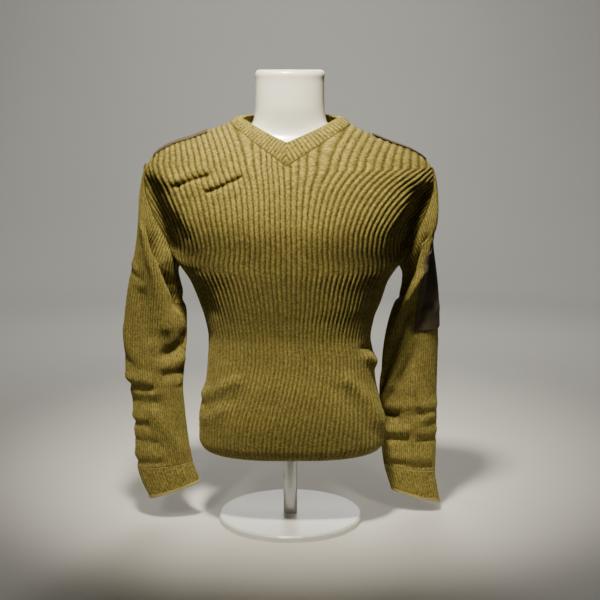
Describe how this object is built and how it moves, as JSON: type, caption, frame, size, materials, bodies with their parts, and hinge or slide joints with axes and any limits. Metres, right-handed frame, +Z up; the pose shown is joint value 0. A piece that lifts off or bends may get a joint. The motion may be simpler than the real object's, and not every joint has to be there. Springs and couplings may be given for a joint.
{
  "type": "army sweater on dress form",
  "caption": "Ribbed olive V-neck military sweater with twill shoulder and elbow patches, hung empty-sleeved on a white limbless torso form that stands on a pole and round base.",
  "frame": {"origin": "middle of the base's underside, on the surface that it stands on", "axes": "+Z up, -Y out of the sweater's front, +X to the viewer's right, which is the wearer's left"},
  "size_m": [0.575, 0.26, 0.807],
  "materials": {
    "wool": "matt ribbed wool knit, olive",
    "twill": "matt cotton twill, brown",
    "plastic": "glossy white moulded plastic",
    "enamel": "satin white enamel",
    "steel": "brushed steel"
  },
  "bodies": {
    "root": {"front_panel": "wool", "back_panel": "wool", "sleeve_left": "wool", "sleeve_right": "wool", "cuff_left": "wool", "cuff_right": "wool", "neckband": "wool", "shoulder_patch_left": "twill", "shoulder_patch_right": "twill", "elbow_patch_left": "twill", "elbow_patch_right": "twill", "form_torso": "plastic", "stand_base": "enamel", "stand_pole": "steel"}
  },
  "joints": []
}
